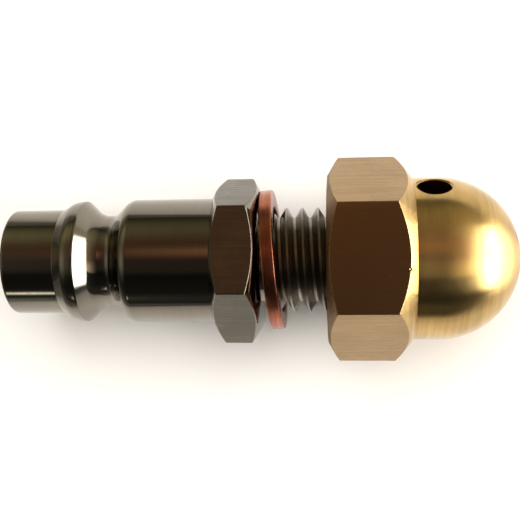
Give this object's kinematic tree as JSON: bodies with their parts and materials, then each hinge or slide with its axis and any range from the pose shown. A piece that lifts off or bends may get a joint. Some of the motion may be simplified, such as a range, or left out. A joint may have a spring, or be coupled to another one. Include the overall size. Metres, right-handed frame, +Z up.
{
  "type": "brake bleeder adapter",
  "caption": "Quick-coupling plug with spanner hexagon and threaded stub, a loose copper sealing washer and a brass domed cap nut with a side outlet, clamped to a reservoir cap to bleed brakes.",
  "frame": {"origin": "centre of the coupling tip's end face, on the adapter's axis, at the mouth of the flow bore", "axes": "+X along the axis from the coupling tip to the dome, +Z up with the adapter lying on a flat of the cap nut"},
  "size_m": [0.049, 0.0196, 0.017],
  "materials": {
    "nickel_plate": "bright nickel plate on turned steel",
    "copper": "soft annealed copper, slightly tarnished",
    "brass": "bright turned brass"
  },
  "bodies": {
    "plug": {"coupling_plug": "nickel_plate", "sealing_washer": "copper"},
    "cap_nut": {"domed_cap_nut": "brass"}
  },
  "joints": [
    {"name": "cap_nut_travel", "type": "slide", "parent": "plug", "child": "cap_nut", "axis": [1, 0, 0], "range_m": [-0.003, 0.0075]}
  ]
}
